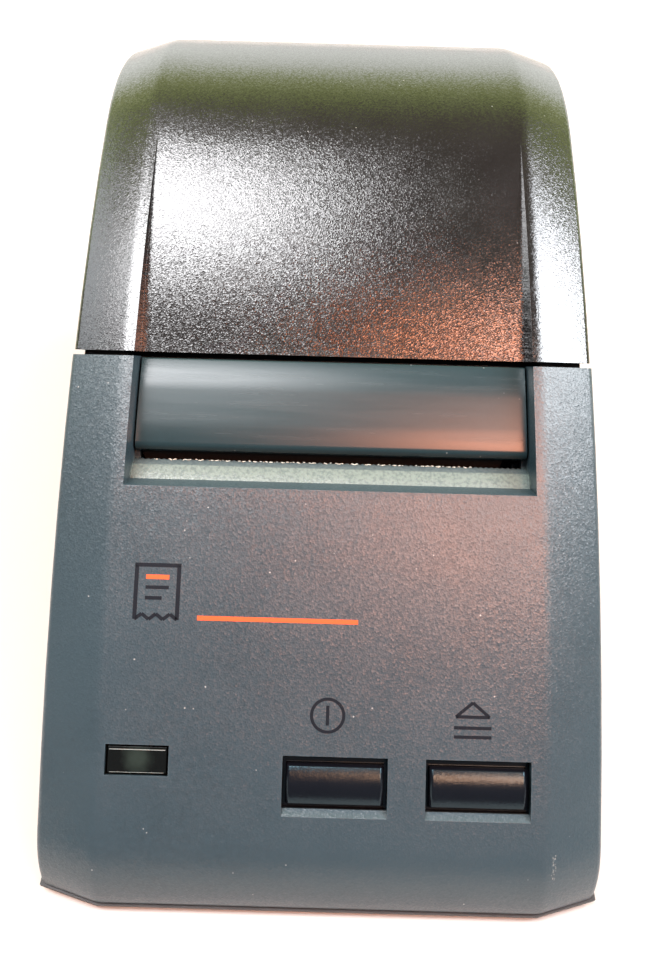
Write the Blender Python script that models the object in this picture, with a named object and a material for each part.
"""Receipt printer: grey case on a black base, smoked roll cover, print mechanism, gear train and boards.

Lengths below are millimetres. y runs back from the nose, z up from the case's foot line and x to the
right of someone facing the printer. The empty called printer carries every piece, and moves that
corner of the design to the middle of the resting surface.
"""
import math

import bmesh
import bpy
from mathutils import Matrix, Vector

MM = 0.001

# Overall sizes
HALF_WIDTH = 56.0          # case, from an 84 mm recess for 80 mm paper
CROWN_HALF = 44.1          # flat middle, where the long side bevels begin
CROWN_RISE = 3.5           # middle stands this far above the side outline
DEPTH_MIDDLE = 103.2       # nose to the middle of the footprint
FOOT_LINE = 3.6            # height of z = 0 above the table
WALL = 1.8
GAP = 0.3
EDGE_RADIUS = 1.6          # where the side walls meet the bevels
CROWN_RADIUS = 7.0         # where the bevels meet the flat middle
CASE_EDGE = -0.6           # lower edge of the grey case

# Side outline: arcs that meet smoothly, each (slope at its start, slope at its end, radius)
NOSE_Y = 3.0
OUTLINE = ((80, 40, 17.8), (40, 20, 459.0), (20, -25, 60.0), (-25, -88, 18.0))
OUTLINE_STEPS = (7, 10, 9, 7)

# Recess that runs over the top
RECESS_LEFT = -41.7
RECESS_RIGHT = 42.2
RECESS_DEPTH = 5.4
RECESS_START = 63.1        # front edge of the recess
BEVEL_FOOT = (68.0, 50.3)
LEDGE_END = (71.45, 51.05)
LIP = (73.8, 50.4)         # toothed lip of the paper slot
SEAT_START = 77.2
PANEL_START, PANEL_END = 74.1, 91.6
TOOTH_PITCH = 1.15
TOOTH_HEIGHT = 0.42
SEAT_DROP = 2.4            # panel's seat below the panel's face
RECESS_RUNOUT = 141.0      # recess has risen to the surface here

# Seam between case and roll cover
SEAM = (90.5, 65.3)        # on the side outline
SEAM_SLOPE = 40.0
SPLIT_Z = 40.0             # sides and back part at this height
SEAM_GAP = 1.0
COVER_HALF = 55.7
HINGE = (204.4, 41.5)
HINGE_RADIUS = 2.4
HINGE_KNUCKLE = 20.0       # half-length of the case's knuckle
COVER_KNUCKLE = 40.0       # outer end of the cover's knuckles
PIN_RADIUS = 1.0
PIN_HOLE = 1.3

# Controls on the front
BUTTON_CENTRES = {"power_button": 2.7, "feed_button": 30.6}
BUTTON_Y = 16.2            # middle of the button openings
BUTTON_OPENING = (20.5, 10.3)
BUTTON_CAP = (18.9, 7.8)
BUTTON_LEDGE = 1.6
BUTTON_LEDGE_DEPTH = 1.25
BUTTON_DEPTH = 6.0         # cap's skirt below the face
BUTTON_TRAVEL = 1.5
CAP_ARC_RADIUS = 8.2
FLANGE_TOP, FLANGE_BOTTOM = -2.4, -3.4
LED_CENTRE = (-35.9, 18.95)
LED_OPENING = (12.4, 5.9)
LENS_GAP = 0.45
LENS_FLANGE = 1.2

# Screws and feet
SCREW_PLACES = {"front_left": (-48.6, 34.0), "front_right": (48.6, 34.0),
                "rear_left": (-48.6, 178.0), "rear_right": (48.6, 178.0)}
SCREW_RADIUS = 1.5
SCREW_HEAD = 3.0
POST_FOOT = 4.0
POST_RADIUS = 3.6
BOSS_RADIUS = 4.6
FOOT_RADIUS = 5.0
FOOT_PLACES = {"front_left": (-42.0, 16.0), "front_right": (42.0, 16.0),
               "rear_left": (-42.0, 196.0), "rear_right": (42.0, 196.0)}

# Base tray, heights above the foot line
FLOOR_LOW, FLOOR_HIGH = -2.3, -0.3
TRAY_WALL_TOP = 4.0
BOARD_LOW, BOARD_HIGH = 2.1, 3.7
BOARD_POSTS_X = (-40.0, 40.0)
BOARD_POSTS_Y = (52.0, 186.0)

# Sockets in the back wall: middle x and z
BACK_INSIDE = 205.1        # inner face of the back wall
SERIAL_X, SERIAL_Z = -22.0, 13.5
INLET_X, INLET_Z = 18.0, 11.5
INLET_RADIUS = 5.8
DRAWER_X, DRAWER_Z = 35.0, 12.5
DRAWER_HALF_WIDTH, DRAWER_HALF_HEIGHT = 5.8, 5.6

# Print mechanism
PLATEN = (87.0, 41.0)
PLATEN_RADIUS = 7.25
SHAFT_RADIUS = 2.5
FRAME_INSIDE = 45.0
FRAME_SHEET = 1.5
GEAR_MODULE = 0.8
PLATEN_TEETH, IDLER_TEETH, PINION_TEETH = 24, 18, 10
TRAIN_DIRECTION = math.radians(216.3)
GEAR_X = 48.0
GEAR_WIDTH = 3.6
HEAD_PIVOT = (103.0, 31.0)
LEVER_PIVOT = (97.0, 47.5)

# Paper
ROLL = (155.5, 49.8)
ROLL_RADIUS = 38.0
ROLL_HALF = 40.0
CORE_RADIUS = 9.0
BUCKET = (155.5, 51.0)
BUCKET_RADIUS = 39.5


# ---------------------------------------------------------------- tools

def clear_scene():
    for thing in list(bpy.data.objects):
        bpy.data.objects.remove(thing)


def material(name, colour, roughness, metallic=0.0):
    made = bpy.data.materials.new(name)
    made.use_nodes = True
    shader = made.node_tree.nodes["Principled BSDF"]
    shader.inputs["Base Color"].default_value = (*colour, 1.0)
    shader.inputs["Roughness"].default_value = roughness
    shader.inputs["Metallic"].default_value = metallic
    return made


def make_object(name, bm, finish, origin=(0, 0, 0), smooth=False):
    """Object whose own origin is at origin; the bmesh is in the printer's millimetres."""
    bmesh.ops.recalc_face_normals(bm, faces=bm.faces)
    mesh = bpy.data.meshes.new(name)
    bm.transform(Matrix.Scale(MM, 4) @ Matrix.Translation(-Vector(origin)))
    bm.to_mesh(mesh)
    bm.free()
    if smooth:
        mesh.shade_smooth()
        mesh.set_sharp_from_angle(angle=math.radians(35))
    thing = bpy.data.objects.new(name, mesh)
    thing.location = Vector(origin) * MM
    thing.parent = printer
    if finish:
        mesh.materials.append(finish)
    bpy.context.scene.collection.objects.link(thing)
    return thing


def as_cutter(thing):
    thing.hide_render = True
    thing.display_type = "WIRE"
    return thing


def boolean(target, other, operation):
    step = target.modifiers.new(operation.lower(), "BOOLEAN")
    step.operation = operation
    step.solver = "EXACT"
    step.object = as_cutter(other)


def cut(target, *others):
    for other in others:
        boolean(target, other, "DIFFERENCE")


def join(target, *others):
    for other in others:
        boolean(target, other, "UNION")


def keep_inside(target, other):
    boolean(target, other, "INTERSECT")


def loft(name, rings, finish, origin=(0, 0, 0), smooth=False, closed=False):
    """Skin through rings of equal length; the ends are capped, or joined to each other if closed."""
    bm = bmesh.new()
    rows = [[bm.verts.new(point) for point in ring] for ring in rings]
    pairs = list(zip(rows, rows[1:]))
    if closed:
        pairs.append((rows[-1], rows[0]))
    else:
        bm.faces.new(rows[0])
        bm.faces.new(rows[-1])
    for first, second in pairs:
        for i in range(len(first)):
            j = (i + 1) % len(first)
            bm.faces.new((first[i], first[j], second[j], second[i]))
    return make_object(name, bm, finish, origin, smooth)


def prism_x(name, outline, x_low, x_high, finish=None, origin=(0, 0, 0), smooth=False):
    """Side outline of (y, z) points stretched along x."""
    rings = [[(x, y, z) for y, z in outline] for x in (x_low, x_high)]
    return loft(name, rings, finish, origin, smooth)


def box(name, low, high, finish=None, origin=(0, 0, 0)):
    outline = [(low[1], low[2]), (high[1], low[2]), (high[1], high[2]), (low[1], high[2])]
    return prism_x(name, outline, low[0], high[0], finish, origin)


def circle(centre, radius, sides, start=0.0, sweep=2 * math.pi):
    steps = sides if abs(sweep) > 6.28 else sides + 1
    return [(centre[0] + radius * math.cos(start + sweep * i / sides),
             centre[1] + radius * math.sin(start + sweep * i / sides)) for i in range(steps)]


def rod_x(name, centre, radius, x_low, x_high, finish=None, sides=20, origin=(0, 0, 0)):
    return prism_x(name, circle(centre, radius, sides), x_low, x_high, finish, origin, smooth=True)


def turned(name, profile, centre, axis, finish=None, sides=20, closed=False, origin=None):
    """Profile of (radius, height) turned about an axis through centre. A closed profile makes a ring."""
    turn = Vector((0, 0, 1)).rotation_difference(Vector(axis)).to_matrix()
    rings = []
    for radius, height in profile:
        flat = circle((0, 0), radius, sides)
        rings.append([Vector(centre) + turn @ Vector((a, b, height)) for a, b in flat])
    return loft(name, rings, finish, origin or centre, smooth=True, closed=closed)


def tilted_box(name, centre, slope, low, high, finish=None, origin=None, bevel=0.0):
    """Box in a frame that lies on the front face: x across, y up the slope, z out of the face."""
    bm = bmesh.new()
    bmesh.ops.create_cube(bm, size=1.0)
    for vert in bm.verts:
        vert.co = Vector([low[i] if vert.co[i] < 0 else high[i] for i in range(3)])
    if bevel:
        upright = [e for e in bm.edges if abs((e.verts[0].co - e.verts[1].co).normalized().z) > 0.9]
        bmesh.ops.bevel(bm, geom=upright, offset=bevel, segments=2, affect="EDGES", profile=0.5)
    bm.transform(Matrix.Translation(centre) @ Matrix.Rotation(math.radians(slope), 4, "X"))
    return make_object(name, bm, finish, origin or centre)


# ---------------------------------------------------------------- outline of the casing

def side_line(offset):
    """Side outline from nose to back, moved outwards by offset."""
    y, z = NOSE_Y, 0.0
    points = []
    for (start, end, radius), steps in zip(OUTLINE, OUTLINE_STEPS):
        first = math.radians(start)
        for i in range(steps + 1):
            slope = math.radians(start + (end - start) * i / steps)
            at_y = y + radius * (math.sin(first) - math.sin(slope))
            at_z = z + radius * (math.cos(slope) - math.cos(first))
            if i or not points:
                points.append((at_y - offset * math.sin(slope), at_z + offset * math.cos(slope)))
        y, z = at_y, at_z
    return points


def front_circle():
    """Centre and radius of the long front arc."""
    nose_start, nose_end, nose_radius = OUTLINE[0]
    first, last = math.radians(nose_start), math.radians(nose_end)
    y = NOSE_Y + nose_radius * (math.sin(first) - math.sin(last))
    z = nose_radius * (math.cos(last) - math.cos(first))
    radius = OUTLINE[1][2]
    return y + radius * math.sin(last), z - radius * math.cos(last), radius


FRONT_Y, FRONT_Z, FRONT_RADIUS = front_circle()


def front_height(y, offset=CROWN_RISE):
    """Height of the long front face at y; the offset is counted from the side outline."""
    return FRONT_Z + math.sqrt((FRONT_RADIUS + offset) ** 2 - (y - FRONT_Y) ** 2)


def front_slope(y):
    return math.degrees(math.asin((FRONT_Y - y) / (FRONT_RADIUS + CROWN_RISE)))


def cross_section(half_width, crown_half, rounded):
    """Points (x, rise) across the casing, from the left wall over the crown to the right wall."""
    if not rounded:
        right = [(half_width, 0.0), (crown_half, CROWN_RISE)]
    else:
        tilt = math.atan2(half_width - crown_half, CROWN_RISE)
        wall_trim = EDGE_RADIUS * math.tan(tilt / 2)
        crown_trim = CROWN_RADIUS * math.tan((math.pi / 2 - tilt) / 2)
        right = circle((half_width - EDGE_RADIUS, -wall_trim), EDGE_RADIUS, 4, 0.0, tilt)
        right += circle((crown_half - crown_trim, CROWN_RISE - CROWN_RADIUS), CROWN_RADIUS, 2,
                        tilt, math.pi / 2 - tilt)
    return [(-x, rise) for x, rise in right] + list(reversed(right))


def casing(name, half_width, crown_half, offset, floor_z, finish=None, origin=(0, 0, 0), rounded=False):
    """Solid with the printer's outer shape, moved outwards by offset and flat at floor_z below."""
    rings = []
    for x, rise in cross_section(half_width, crown_half, rounded):
        line = side_line(offset + rise)
        line = [(line[0][0], floor_z)] + line + [(line[-1][0], floor_z)]
        rings.append([(x, y, z) for y, z in line])
    return loft(name, rings, finish, origin, smooth=True)


def seat_line(drop, start, end, steps=6):
    """Points along the front face, sunk by drop below the crown."""
    span = [start + (end - start) * i / steps for i in range(steps + 1)]
    return [(y, front_height(y, CROWN_RISE - drop)) for y in span]


def recess_in_case(name, grow=0.0):
    """Space above the ledge and the panel's seat; grow adds the wall behind it."""
    lower = [(RECESS_START - 5 - grow, front_height(RECESS_START) + 4.5),
             (BEVEL_FOOT[0] - 0.55 * grow, BEVEL_FOOT[1] - grow),
             (LEDGE_END[0], LEDGE_END[1] - grow),
             (LIP[0] + 0.1, LIP[1] - grow)]
    if not grow:
        lower[0] = (RECESS_START - 0.825 * 4, front_height(RECESS_START) + 0.566 * 4)
    seat = seat_line(RECESS_DEPTH + SEAT_DROP + grow, SEAT_START - 1.9, 104.0, 4)
    outline = lower + seat + [(104.0, 100.0), (lower[0][0], 100.0)]
    return prism_x(name, outline, RECESS_LEFT - grow, RECESS_RIGHT + grow)


def recess_in_cover(name, grow=0.0):
    """Space that sinks into the cover towards the seam and runs out at the crest."""
    steps = 12
    start = 80.0
    seam_y = 92.0
    floor = []
    for i in range(steps + 1):
        y = start + (RECESS_RUNOUT - start) * i / steps
        along = max(0.0, (y - seam_y) / (RECESS_RUNOUT - seam_y))
        drop = RECESS_DEPTH * (1 - along) ** 1.2
        floor.append((y, front_height(y, CROWN_RISE - drop - grow)))
    beyond = (RECESS_RUNOUT + 3, front_height(RECESS_RUNOUT + 3, CROWN_RISE - grow) + 0.8)
    outline = floor + [beyond, (RECESS_RUNOUT + 3, 120.0), (start, 120.0)]
    return prism_x(name, outline, RECESS_LEFT - grow, RECESS_RIGHT + grow)


def split_line(shift, back_drop=0.0):
    """Seam from above the front down to the side split, then level to the back; shift moves it up."""
    turn = math.radians(SEAM_SLOPE)
    along, out = (math.cos(turn), -math.sin(turn)), (math.sin(turn), math.cos(turn))
    start = (SEAM[0] + shift * out[0], SEAM[1] + shift * out[1])
    level = SPLIT_Z + shift
    reach = (start[1] - level) / math.sin(turn)
    corner = (start[0] + reach * along[0], level)
    radius = 6.0
    trim = radius * math.tan(turn / 2)
    centre = (corner[0] + trim, level + radius)
    bend = circle(centre, radius, 4, math.radians(270) - turn, turn)
    line = [(start[0] - 40 * along[0], start[1] - 40 * along[1])] + bend
    if back_drop:
        line += [(195.0, level), (195.0, level - back_drop)]
    return line + [(215.0, level - back_drop)]


def above_split(name, shift, back_drop=0.0):
    line = split_line(shift, back_drop)
    return prism_x(name, line + [(215.0, 130.0), (line[0][0], 130.0)], -70.0, 70.0)


def interior(name, inset, with_case_recess=True, with_cover_recess=True):
    """Everything deeper than inset below the outer surface and below the recess."""
    hollow = casing(name, HALF_WIDTH - inset, CROWN_HALF - 0.14 * inset, -inset, -8.0)
    if with_case_recess:
        cut(hollow, recess_in_case(name + "_case_recess", inset))
    if with_cover_recess:
        cut(hollow, recess_in_cover(name + "_cover_recess", inset))
    return as_cutter(hollow)


# ---------------------------------------------------------------- casing pieces

def toothed_slot(name):
    """Paper slot's opening; its front edge is a row of rounded teeth."""
    left, right = RECESS_LEFT + 1.0, RECESS_RIGHT - 1.0
    count = int((right - left) / TOOTH_PITCH)
    first = (left + right - count * TOOTH_PITCH) / 2
    front = []
    for i in range(count):
        x = first + i * TOOTH_PITCH
        for share, rise in ((0.0, 0.0), (0.22, 0.35), (0.5, 1.0), (0.78, 0.35)):
            front.append((x + share * TOOTH_PITCH, LIP[0] - TOOTH_HEIGHT * (1 - rise)))
    front.append((first + count * TOOTH_PITCH, LIP[0] - TOOTH_HEIGHT))
    outline = front + [(right, SEAT_START), (left, SEAT_START)]
    rings = [[(x, y, z) for x, y in outline] for z in (LIP[1] - 6.0, LIP[1] + 1.2)]
    return loft(name, rings, None)


def build_top_case():
    case = casing("top_case", HALF_WIDTH, CROWN_HALF, 0.0, CASE_EDGE, grey_texture, rounded=True)
    cut(case, above_split("above_case", -SEAM_GAP / 2, 1.5))
    cut(case, interior("case_inside", WALL, with_cover_recess=False))
    cut(case, recess_in_case("case_recess"))
    cut(case, toothed_slot("slot_opening"))
    for name, x in BUTTON_CENTRES.items():
        add_button_opening(case, name, x)
    place, turn, slope = on_front(*LED_CENTRE)
    wide, high = LED_OPENING
    cut(case, tilted_box("led_opening", place, slope, (-wide / 2, -high / 2, -6),
                         (wide / 2, high / 2, 3)))
    add_screw_posts(case)
    add_hinge_knuckle(case)
    cut(case, *rear_openings())
    return case


def add_button_opening(case, name, x):
    centre, turn, slope = on_front(x, BUTTON_Y)
    wide, high = BUTTON_OPENING
    cut(case, tilted_box(name + "_opening", centre, slope, (-wide / 2, -high / 2, -8),
                         (wide / 2, high / 2, 3)))
    # finger bevel along the lower edge
    rings = []
    for side in (-1, 1):
        ring = []
        for up, out in ((-high / 2 - BUTTON_LEDGE - 1.5, 1.5), (-high / 2 + 0.5, 1.5),
                        (-high / 2 + 0.5, -BUTTON_LEDGE_DEPTH), (-high / 2 - 0.001, -BUTTON_LEDGE_DEPTH)):
            ring.append(centre + turn @ Vector((side * wide / 2, up, out)))
        rings.append(ring)
    cut(case, loft(name + "_bevel", rings, None))


def add_screw_posts(case):
    for name, (x, y) in SCREW_PLACES.items():
        top = front_height(y, 0.0) - 1.0 if y < 100 else SPLIT_Z - 3.0
        post = turned("post_" + name, [(POST_RADIUS, 0), (POST_RADIUS, top - POST_FOOT)],
                      (x, y, POST_FOOT), (0, 0, 1), sides=16)
        join(case, post)
        rib_out = math.copysign(HALF_WIDTH - WALL / 2, x)
        low_x, high_x = sorted((x + math.copysign(2.0, x), rib_out))
        join(case, box("rib_" + name, (low_x, y - 0.8, POST_FOOT + 1), (high_x, y + 0.8, top - 1)))
        pilot = turned("pilot_" + name, [(SCREW_RADIUS + GAP, 0), (SCREW_RADIUS + GAP, 11)],
                       (x, y, POST_FOOT - 1), (0, 0, 1), sides=16)
        cut(case, pilot)


def add_hinge_knuckle(case):
    y, z = HINGE
    barrel = circle(HINGE, HINGE_RADIUS, 12, 0.0, math.pi)
    outline = barrel + [(y - HINGE_RADIUS, z - 6.0), (y + HINGE_RADIUS, z - 6.0)]
    join(case, prism_x("case_knuckle", outline, -HINGE_KNUCKLE, HINGE_KNUCKLE))
    cut(case, rod_x("case_pin_hole", HINGE, PIN_HOLE, -HINGE_KNUCKLE - 2, HINGE_KNUCKLE + 2, sides=12))


def rear_openings():
    deep = (BACK_INSIDE - 4, BACK_INSIDE + 6)
    return (
        box("serial_hole", (SERIAL_X - 17.0, deep[0], SERIAL_Z - 7.0),
            (SERIAL_X + 17.0, deep[1], SERIAL_Z + 7.0)),
        rod_y("inlet_hole", (INLET_X, INLET_Z), INLET_RADIUS + 0.4, *deep),
        box("drawer_hole",
            (DRAWER_X - DRAWER_HALF_WIDTH - 0.4, deep[0], DRAWER_Z - DRAWER_HALF_HEIGHT - 0.4),
            (DRAWER_X + DRAWER_HALF_WIDTH + 0.4, deep[1], DRAWER_Z + DRAWER_HALF_HEIGHT + 0.4)),
    )


def rod_y(name, centre, radius, y_low, y_high, finish=None, sides=20):
    return turned(name, [(radius, 0), (radius, y_high - y_low)], (centre[0], y_low, centre[1]),
                  (0, 1, 0), finish, sides)


def build_roll_cover():
    cover = casing("roll_cover", COVER_HALF, CROWN_HALF - 0.3, 0.0, CASE_EDGE, smoked_plastic,
                   (0, *HINGE), rounded=True)
    keep_inside(cover, above_split("above_cover", SEAM_GAP / 2))
    cut(cover, interior("cover_inside", WALL, with_case_recess=False))
    cut(cover, recess_in_cover("cover_recess"))
    y, z = HINGE
    cut(cover, box("knuckle_notch", (-HINGE_KNUCKLE - GAP, y - 5, z - 5),
                   (HINGE_KNUCKLE + GAP, y + 5, z + HINGE_RADIUS + 0.6)))
    for side in (-1, 1):
        low_x, high_x = sorted((side * (HINGE_KNUCKLE + GAP), side * COVER_KNUCKLE))
        join(cover, rod_x("cover_knuckle", HINGE, HINGE_RADIUS, low_x, high_x, sides=16))
        join(cover, box("knuckle_web", (low_x, y - 0.6, z), (high_x, y + 2.0, z + 5)))
    cut(cover, rod_x("cover_pin_hole", HINGE, PIN_HOLE, -COVER_KNUCKLE - 10, COVER_KNUCKLE + 10,
                     sides=12))


def build_exit_panel():
    """Smooth panel between the slot and the seam, with rounded long edges."""
    start, end = PANEL_START, PANEL_END
    face = seat_line(RECESS_DEPTH, start + 0.9, end - 0.5, 8)
    under = list(reversed(seat_line(RECESS_DEPTH + SEAT_DROP - GAP, start + 0.6, end - 1.4 + 2.6, 4)))
    nose = [(start + 0.12, face[0][1] - 1.05), (start + 0.3, face[0][1] - 0.55)]
    tail = [(end, face[-1][1] + 0.05), (end + 0.25, face[-1][1] - 0.3)]
    outline = [(start + 0.1, face[0][1] - 1.6)] + nose + face + tail + under
    prism_x("exit_panel", outline, RECESS_LEFT + GAP, RECESS_RIGHT - GAP, grey_smooth)


def build_paper_guide():
    """Dark strip behind the teeth that leads the paper up from the platen."""
    left, right = RECESS_LEFT + 1.3, 37.3
    outline = [(75.8, 50.2), (76.5, 50.3), (77.5, 47.0), (78.2, 42.0), (77.9, 38.6), (77.0, 38.6),
               (77.2, 42.0), (76.5, 46.6)]
    guide = prism_x("paper_guide", outline, left, right, brown_plastic)
    join(guide, box("guide_foot_left", (left, 72.0, 38.6), (left + 3, 77.6, 40.2)))
    join(guide, box("guide_foot_right", (right - 3, 72.0, 38.6), (right, 77.6, 40.2)))


def build_cover_rim():
    """Black frame just inside the seam, on which the cover closes."""
    rim = casing("cover_rim", HALF_WIDTH - WALL - GAP, CROWN_HALF - 0.3, -WALL - GAP, -8.0, black_plastic)
    cut(rim, recess_in_case("rim_case_recess", WALL + GAP), recess_in_cover("rim_cover_recess", WALL + GAP))
    cut(rim, interior("rim_inside", WALL + GAP + 1.5))
    low, high = split_line(-3.5), split_line(3.5)
    low[-1], high[-1] = (186.0, low[-1][1]), (186.0, high[-1][1])
    band = prism_x("rim_band", low + list(reversed(high)), -70.0, 70.0)
    keep_inside(rim, band)


def build_base_case():
    """Black tray: visible rim, inner wall, floor, bosses for the case screws and foot pockets."""
    def plan(inset):
        side = side_line(-inset)
        crown = side_line(CROWN_RISE - inset)
        half, flat = HALF_WIDTH - inset, CROWN_HALF
        front_side, front = side[0][0], crown[0][0]
        back_side, back = side[-1][0], crown[-1][0]
        return [(-flat, front), (flat, front), (half, front_side), (half, back_side), (flat, back),
                (-flat, back), (-half, back_side), (-half, front_side)]

    def slab(name, inset, low, high, finish=None):
        return loft(name, [[(x, y, z) for x, y in plan(inset)] for z in (low, high)], finish)

    wall_inset = WALL + GAP + 1.0
    base = slab("base_case", wall_inset, FLOOR_LOW, TRAY_WALL_TOP, black_plastic)
    join(base, slab("base_rim", -0.35, FLOOR_LOW + 0.3, CASE_EDGE - GAP))
    cut(base, slab("base_hollow", wall_inset + WALL, FLOOR_HIGH, TRAY_WALL_TOP + 5))
    for name, (x, y) in SCREW_PLACES.items():
        join(base, turned("boss_" + name,
                          [(BOSS_RADIUS, 0), (BOSS_RADIUS, POST_FOOT - GAP - FLOOR_LOW - 0.5)],
                          (x, y, FLOOR_LOW + 0.5), (0, 0, 1), sides=16))
        for radius, height in ((SCREW_HEAD + GAP, 4.4), (SCREW_RADIUS + 0.4, 9.0)):
            cut(base, turned("hole_" + name, [(radius, 0), (radius, height)], (x, y, FLOOR_LOW - 1),
                             (0, 0, 1), sides=16))
    for x, y in FOOT_PLACES.values():
        cut(base, turned("foot_pocket", [(FOOT_RADIUS + GAP, 0), (FOOT_RADIUS + GAP, 1.9)],
                         (x, y, FLOOR_LOW - 1), (0, 0, 1), sides=20))
    for x in BOARD_POSTS_X:
        for y in BOARD_POSTS_Y:
            join(base, turned("board_post", [(3.0, 0), (3.0, BOARD_LOW - GAP - FLOOR_HIGH + 0.2)],
                              (x, y, FLOOR_HIGH - 0.5), (0, 0, 1), sides=12))
    cut(base, box("socket_gap", (SERIAL_X - 18.0, BACK_INSIDE - 5.1, 2.6), (DRAWER_X + 7.5, 212.0, 12.0)))


def build_feet_and_screws():
    for name, (x, y) in FOOT_PLACES.items():
        turned("foot_" + name, [(4.4, 0), (FOOT_RADIUS, 0.5), (FOOT_RADIUS, 1.9)],
               (x, y, -FOOT_LINE), (0, 0, 1), rubber)
    for name, (x, y) in SCREW_PLACES.items():
        profile = [(2.2, 0), (SCREW_HEAD, 0.5), (SCREW_HEAD, 1.9), (SCREW_RADIUS, 2.0),
                   (SCREW_RADIUS, 10.5), (0.7, 11.6)]
        screw = turned("case_screw_" + name, profile, (x, y, -1.2), (0, 0, 1), zinc, sides=16)
        for wide, long in ((1.7, 0.35), (0.35, 1.7)):
            cut(screw, box("driver_slot", (x - wide, y - long, -2.0), (x + wide, y + long, -0.2)))


# ---------------------------------------------------------------- controls

def on_front(x, y):
    """Point on the front face, the turn that lays x across and y up the slope there, and the slope."""
    slope = front_slope(y)
    return Vector((x, y, front_height(y))), Matrix.Rotation(math.radians(slope), 3, "X"), slope


def build_button(name, x):
    """Pressed bar with a convex top, and a flange under the case that holds it in."""
    place, turn, slope = on_front(x, BUTTON_Y)
    centre = place + turn @ Vector((0, -0.45, 0))
    wide, high = BUTTON_CAP
    half_turn = math.asin((high / 2 - 0.25) / CAP_ARC_RADIUS)
    outline = [(high / 2, -1.6), (high / 2, -BUTTON_DEPTH), (-high / 2, -BUTTON_DEPTH), (-high / 2, -1.6)]
    for up, rise in circle((0, 0.3 - CAP_ARC_RADIUS), CAP_ARC_RADIUS, 10, math.pi / 2 + half_turn,
                           -2 * half_turn):
        outline.append((up, rise))
    rings = []
    for across, shrink in ((-wide / 2, 0.5), (-wide / 2 + 0.5, 0.0), (wide / 2 - 0.5, 0.0), (wide / 2, 0.5)):
        rings.append([centre + turn @ Vector((across, up, out - (shrink if out > 1 - BUTTON_DEPTH else 0)))
                      for up, out in outline])
    cap = loft(name, rings, button_plastic, centre, smooth=True)
    flange_low = (-wide / 2 - 1.6, -high / 2 - 1.6, FLANGE_BOTTOM)
    flange_high = (wide / 2 + 1.6, high / 2 + 1.6, FLANGE_TOP)
    join(cap, tilted_box(name + "_flange", centre, slope, flange_low, flange_high))
    return centre


def build_switch(name, cap_centre):
    """Small push switch under a button."""
    turn = on_front(0, BUTTON_Y)[1]
    centre = cap_centre + turn @ Vector((0, 0, -BUTTON_DEPTH - BUTTON_TRAVEL - GAP))
    switch = tilted_box(name, centre, front_slope(BUTTON_Y), (-3, -3, -3.2), (3, 3, -0.6), black_plastic)
    join(switch, turned(name + "_stem", [(1.7, 0), (1.7, 1.1)], centre + turn @ Vector((0, 0, -1.1)),
                        turn @ Vector((0, 0, 1)), sides=12))


def build_controls():
    for name, x in BUTTON_CENTRES.items():
        build_switch(name.replace("button", "switch"), build_button(name, x))
    place, turn, slope = on_front(-2.5, BUTTON_Y)
    board_top = place + turn @ Vector((0, 0, -BUTTON_DEPTH - BUTTON_TRAVEL - 3.8))
    tilted_box("panel_board", board_top, slope, (-41, -7.5, -1.6), (43, 9.5, 0.0), board_green)
    place, turn, slope = on_front(*LED_CENTRE)
    half_wide, half_high = LED_OPENING[0] / 2 - LENS_GAP, LED_OPENING[1] / 2 - LENS_GAP
    lens = tilted_box("led_lens", place, slope, (-half_wide, -half_high, -2.9),
                      (half_wide, half_high, -0.5), smoked_lens)
    flange = (half_wide + LENS_FLANGE, half_high + LENS_FLANGE)
    join(lens, tilted_box("lens_flange", place, slope, (-flange[0], -flange[1], -3.0), (*flange, -2.3)))
    profile = [(1.9, 0), (1.9, 0.8), (1.5, 0.8), (1.5, 3.6), (1.2, 4.3), (0.6, 4.7)]
    turned("status_led", profile, place + turn @ Vector((0, 0, -9.2)), turn @ Vector((0, 0, 1)),
           led_green, sides=16)


# ---------------------------------------------------------------- mechanism

def gear(name, teeth, centre, phase, bore, x_low, width, finish, origin=None):
    """Spur gear about x. phase is the angle of one tooth's middle."""
    pitch_radius = GEAR_MODULE * teeth / 2
    tip, root = pitch_radius + 0.75 * GEAR_MODULE, pitch_radius - 1.1 * GEAR_MODULE
    step = 2 * math.pi / teeth
    outer, inner = [], []
    for i in range(teeth):
        middle = phase + i * step
        for radius, share in ((root, -0.36), (tip, -0.13), (tip, 0.13), (root, 0.36)):
            angle = middle + share * step
            outer.append((centre[0] + radius * math.cos(angle), centre[1] + radius * math.sin(angle)))
            inner.append((centre[0] + bore * math.cos(angle), centre[1] + bore * math.sin(angle)))
    rings = [[(x, y, z) for y, z in line] for x, line in
             ((x_low, inner), (x_low, outer), (x_low + width, outer), (x_low + width, inner))]
    return loft(name, rings, finish, origin or (0, *centre), closed=True)


def along_train(distance):
    return (PLATEN[0] + distance * math.cos(TRAIN_DIRECTION),
            PLATEN[1] + distance * math.sin(TRAIN_DIRECTION))


IDLER = along_train(GEAR_MODULE * (PLATEN_TEETH + IDLER_TEETH) / 2)
PINION = along_train(GEAR_MODULE * (PLATEN_TEETH + 2 * IDLER_TEETH + PINION_TEETH) / 2)


def tube_x(name, centre, bore, radius, x_low, x_high, finish, sides=20):
    profile = [(bore, 0), (radius, 0), (radius, x_high - x_low), (bore, x_high - x_low)]
    return turned(name, profile, (x_low, *centre), (1, 0, 0), finish, sides, closed=True, origin=(0, *centre))


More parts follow.
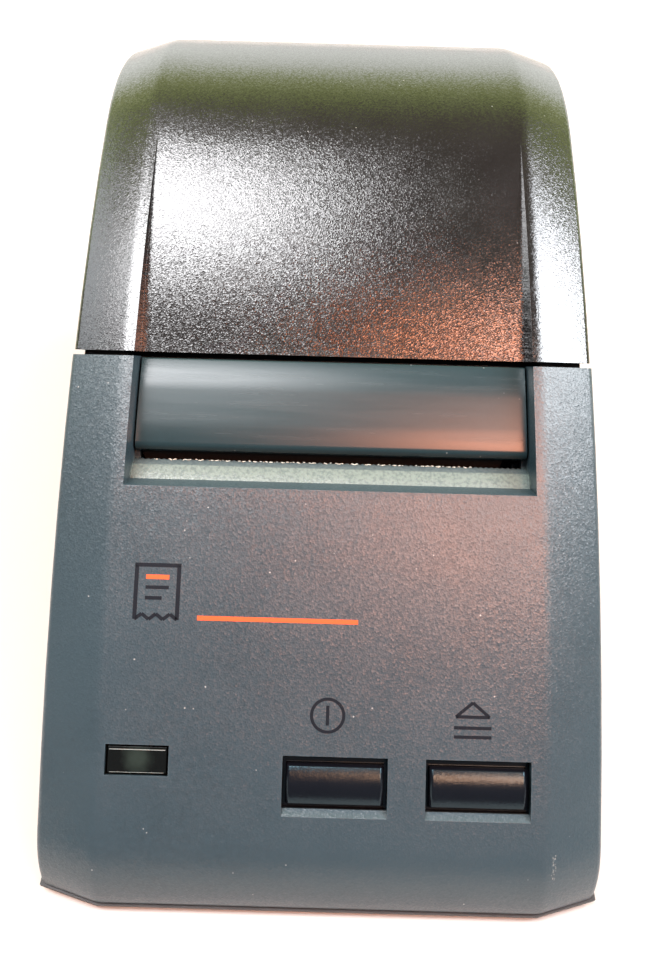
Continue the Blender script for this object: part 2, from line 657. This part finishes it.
def build_mechanism():
    sheet_outline = [(60.0, 12.0), (110.0, 12.0), (110.0, 34.0), (103.0, 53.0), (84.0, 51.5), (76.0, 40.0),
                     (56.0, 36.0), (48.0, 28.0), (48.0, 16.0)]
    far = FRAME_INSIDE + FRAME_SHEET
    frame = prism_x("mech_frame", sheet_outline, -far, far, zinc)
    hollow = [(30.0, 13.5), (130.0, 13.5), (130.0, 70.0), (30.0, 70.0)]
    cut(frame, prism_x("frame_hollow", hollow, -FRAME_INSIDE, FRAME_INSIDE))
    cut(frame, rod_x("bush_holes", PLATEN, 4.3, -60, 60))
    cut(frame, rod_x("head_pin_holes", HEAD_PIVOT, 1.8, -60, 60, sides=12))
    cut(frame, rod_x("motor_hole", PINION, 5.6, 40, 60))
    cut(frame, rod_x("idler_hole", IDLER, 1.6, 40, 60, sides=12))
    cut(frame, rod_x("lever_hole", LEVER_PIVOT, 2.4, -60, -40, sides=12))

    rod_x("platen_shaft", PLATEN, SHAFT_RADIUS, -49.5, 52.2, steel, 20, (0, *PLATEN))
    tube_x("platen_roller", PLATEN, SHAFT_RADIUS + 0.15, PLATEN_RADIUS, -41.0, 41.0, rubber, 32)
    for side, name in ((-1, "platen_bush_left"), (1, "platen_bush_right")):
        low_x, high_x = sorted((side * (FRAME_INSIDE - 1.6), side * (far + 0.6)))
        tube_x(name, PLATEN, SHAFT_RADIUS + 0.15, 4.0, low_x, high_x, brown_plastic)
    gear("platen_gear", PLATEN_TEETH, PLATEN, TRAIN_DIRECTION, SHAFT_RADIUS + 0.15, GEAR_X, GEAR_WIDTH,
         white_plastic)
    gear("idler_gear", IDLER_TEETH, IDLER, TRAIN_DIRECTION + math.pi * (1 + 1 / IDLER_TEETH), 1.6, GEAR_X,
         GEAR_WIDTH, white_plastic)
    gear("motor_pinion", PINION_TEETH, PINION, TRAIN_DIRECTION + math.pi, 1.15, GEAR_X, GEAR_WIDTH, brass)
    rod_x("motor_shaft", PINION, 1.0, 46.0 - 2.0, GEAR_X + GEAR_WIDTH, steel, 12, (0, *PINION))
    turned("idler_pin", [(2.6, 0), (2.6, 0.9), (1.3, 0.9), (1.3, 8.0), (1.3, 8.1)],
           (FRAME_INSIDE - 1.2, *IDLER), (1, 0, 0), steel, sides=16)
    motor_profile = [(1.3, 0), (4.9, 0), (4.9, -3.0), (10.5, -3.0), (10.5, -19.0), (9.5, -20.0), (1.3, -20.0)]
    turned("stepper_motor", motor_profile, (FRAME_INSIDE + FRAME_SHEET, *PINION), (1, 0, 0), steel, 24,
           closed=True)

    head_low = PLATEN[1] - PLATEN_RADIUS - GAP
    plate = [(79.0, head_low - 1.0), (100.0, head_low - 1.0), (100.0, head_low), (79.0, head_low)]
    prism_x("thermal_head", plate, -42.0, 42.0, ceramic, (0, *HEAD_PIVOT))
    sink_top = head_low - 1.0 - GAP
    sink = [(79.0, sink_top), (79.0, sink_top - 2.2), (100.0, sink_top - 2.2), (101.0, HEAD_PIVOT[1] - 2.6),
            (105.6, HEAD_PIVOT[1] - 2.6), (105.6, HEAD_PIVOT[1] + 2.2), (101.0, sink_top)]
    heatsink = prism_x("head_heatsink", sink, -43.5, 43.5, aluminium, (0, *HEAD_PIVOT))
    cut(heatsink, rod_x("heatsink_hole", HEAD_PIVOT, 1.8, -60, 60, sides=12))
    rod_x("head_pin", HEAD_PIVOT, 1.5, -far - 1.5, far + 1.2, steel, 12, (0, *HEAD_PIVOT))
    for side, name in ((-1, "head_spring_left"), (1, "head_spring_right")):
        coil(name, (side * 24.0, 84.0, 13.5 + GAP), 3.2, 0.45, sink_top - 2.2 - 13.5 - 2 * GAP, 5, steel)

    lever_arm = [(-2.6, -2.6), (2.6, -2.6), (3.4, 2.5), (4.6, 9.0), (7.4, 12.0), (6.0, 14.4), (1.8, 11.5),
                 (-0.6, 7.0), (-3.0, 2.5)]
    lever = prism_x("head_lever", [(LEVER_PIVOT[0] + a, LEVER_PIVOT[1] + b) for a, b in lever_arm],
                    -far - 3.2, -far - 0.8, lever_blue, (0, *LEVER_PIVOT))
    join(lever, box("lever_pad", (-far - 5.0, LEVER_PIVOT[0] + 4.6, LEVER_PIVOT[1] + 11.4),
                    (-far + 0.5, LEVER_PIVOT[0] + 7.0, LEVER_PIVOT[1] + 13.6)))
    join(lever, rod_x("lever_axle", LEVER_PIVOT, 2.0, -far - 1.0, -FRAME_INSIDE + 1.5, sides=12))


def coil(name, foot, radius, wire, height, turns, finish):
    """Compression spring standing on foot."""
    per_turn, sides = 12, 6
    steps = turns * per_turn
    rings = []
    for i in range(steps + 1):
        angle = 2 * math.pi * i / per_turn
        rise = wire + (height - 2 * wire) * i / steps
        outward = Vector((math.cos(angle), math.sin(angle), 0))
        centre = Vector(foot) + radius * outward + Vector((0, 0, rise))
        rings.append([centre + wire * (math.cos(2 * math.pi * k / sides) * outward
                      + Vector((0, 0, math.sin(2 * math.pi * k / sides)))) for k in range(sides)])
    return loft(name, rings, finish, foot, smooth=True)


# ---------------------------------------------------------------- paper, boards and sockets

def tub(name, centre, radius, rim_z, x_half, finish=None):
    arc = circle(centre, radius, 24, math.pi, math.pi)
    outline = [(arc[0][0], rim_z)] + arc + [(arc[-1][0], rim_z)]
    return prism_x(name, outline, -x_half, x_half, finish, smooth=True)


def build_paper():
    bucket = tub("roll_bucket", BUCKET, BUCKET_RADIUS + 2.0, 60.0, 43.6, black_plastic)
    cut(bucket, tub("bucket_hollow", BUCKET, BUCKET_RADIUS, 90.0, 41.6))
    tube_x("paper_roll", ROLL, CORE_RADIUS + GAP, ROLL_RADIUS, -ROLL_HALF, ROLL_HALF, paper, 48)
    tube_x("roll_core", ROLL, CORE_RADIUS - 2.0, CORE_RADIUS, -ROLL_HALF, ROLL_HALF, card, 24)


def build_boards():
    box("main_board", (-43.4, 46.0, BOARD_LOW), (43.4, 198.0, BOARD_HIGH), board_green)
    # D-shaped serial socket
    body_y = BACK_INSIDE - 9.0
    serial = box("serial_connector", (SERIAL_X - 15.4, body_y, SERIAL_Z - 6.2),
                 (SERIAL_X + 15.4, BACK_INSIDE - 1.0, SERIAL_Z + 6.2), zinc)
    d_shape = [(-9.6, 4.6), (9.6, 4.6), (8.4, -4.6), (-8.4, -4.6)]
    shell = [[(SERIAL_X + a, y, SERIAL_Z + b) for a, b in d_shape]
             for y in (BACK_INSIDE - 2, BACK_INSIDE + 1.5)]
    join(serial, loft("serial_shell", shell, None))
    inside = [[(SERIAL_X + a * 0.93, y, SERIAL_Z + b * 0.87) for a, b in d_shape]
              for y in (BACK_INSIDE - 4, BACK_INSIDE + 3)]
    cut(serial, loft("serial_socket", inside, None))
    for side, name in ((-1, "serial_jackscrew_left"), (1, "serial_jackscrew_right")):
        x = SERIAL_X + side * 12.5
        cut(serial, rod_y("jackscrew_hole", (x, SERIAL_Z), 1.9, body_y - 3, BACK_INSIDE + 3, sides=12))
        turned(name, [(1.5, 0), (1.5, 6.2), (2.5, 6.2), (2.5, 8.6), (1.0, 8.6), (1.0, 6.6)],
               (x, BACK_INSIDE - 6.9, SERIAL_Z), (0, 1, 0), zinc, sides=12)
    inlet = rod_y("power_inlet", (INLET_X, INLET_Z), INLET_RADIUS, BACK_INSIDE - 12.0, BACK_INSIDE + 1.2,
                  black_plastic)
    cut(inlet, turned("inlet_socket", [(2.9, 0), (2.9, 10)], (INLET_X, BACK_INSIDE - 7.0, INLET_Z),
                      (0, 1, 0)))
    rod_y("inlet_pin", (INLET_X, INLET_Z), 1.0, BACK_INSIDE - 6.7, BACK_INSIDE + 0.4, brass, sides=12)
    drawer = box("drawer_socket",
                 (DRAWER_X - DRAWER_HALF_WIDTH, BACK_INSIDE - 13.0, DRAWER_Z - DRAWER_HALF_HEIGHT),
                 (DRAWER_X + DRAWER_HALF_WIDTH, BACK_INSIDE + 1.2, DRAWER_Z + DRAWER_HALF_HEIGHT),
                 black_plastic)
    cut(drawer, box("drawer_plughole", (DRAWER_X - 4.4, BACK_INSIDE - 9.0, DRAWER_Z - 3.9),
                    (DRAWER_X + 4.4, BACK_INSIDE + 4, DRAWER_Z + 2.4)))


clear_scene()
printer = bpy.data.objects.new("printer", None)
printer.location = (0, -DEPTH_MIDDLE * MM, FOOT_LINE * MM)
bpy.context.scene.collection.objects.link(printer)

grey_texture = material("case_grey", (0.095, 0.125, 0.145), 0.45)
grey_smooth = material("panel_grey", (0.085, 0.110, 0.125), 0.28)
smoked_plastic = material("smoked_black", (0.012, 0.011, 0.013), 0.22)
black_plastic = material("black_plastic", (0.015, 0.015, 0.016), 0.5)
button_plastic = material("button_black", (0.020, 0.019, 0.024), 0.3)
brown_plastic = material("brown_plastic", (0.060, 0.045, 0.040), 0.55)
smoked_lens = material("smoked_lens", (0.010, 0.014, 0.012), 0.08)
led_green = material("led_green", (0.100, 0.350, 0.120), 0.2)
rubber = material("rubber", (0.020, 0.020, 0.020), 0.8)
zinc = material("zinc_plate", (0.620, 0.620, 0.600), 0.35, 1.0)
steel = material("steel", (0.560, 0.560, 0.570), 0.28, 1.0)
aluminium = material("aluminium", (0.700, 0.700, 0.710), 0.4, 1.0)
brass = material("brass", (0.750, 0.560, 0.240), 0.3, 1.0)
ceramic = material("ceramic", (0.800, 0.790, 0.740), 0.25)
white_plastic = material("white_plastic", (0.750, 0.740, 0.700), 0.4)
lever_blue = material("lever_blue", (0.060, 0.180, 0.420), 0.4)
board_green = material("board_green", (0.020, 0.150, 0.060), 0.35)
paper = material("paper", (0.850, 0.850, 0.830), 0.8)
card = material("card", (0.420, 0.320, 0.220), 0.85)

build_top_case()
build_base_case()
build_roll_cover()
build_exit_panel()
build_paper_guide()
build_cover_rim()
build_feet_and_screws()
rod_x("hinge_pin", HINGE, PIN_RADIUS, -COVER_KNUCKLE - 1, COVER_KNUCKLE + 1, steel, 12, (0, *HINGE))
build_controls()
build_mechanism()
build_paper()
build_boards()
